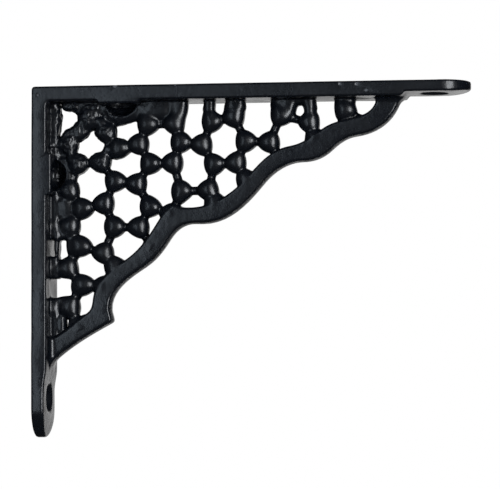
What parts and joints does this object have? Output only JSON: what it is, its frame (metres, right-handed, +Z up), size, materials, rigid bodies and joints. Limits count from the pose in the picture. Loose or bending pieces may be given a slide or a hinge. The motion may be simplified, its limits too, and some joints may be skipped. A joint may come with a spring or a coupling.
{
  "type": "shelf bracket",
  "caption": "Cast-iron shelf bracket: wall leg and shelf arm in one casting, with a pierced honeycomb web of domed beads behind a scalloped bar.",
  "frame": {"origin": "middle of the flat wall face: half way up the wall leg and half way across its width", "axes": "+X out from the wall along the shelf arm, +Y across the bracket's width, +Z up"},
  "size_m": [0.15, 0.02, 0.12],
  "materials": {
    "black_painted_iron": "semi-gloss black paint over rough sand-cast iron"
  },
  "bodies": {
    "root": {"bracket_casting": "black_painted_iron"}
  },
  "joints": []
}
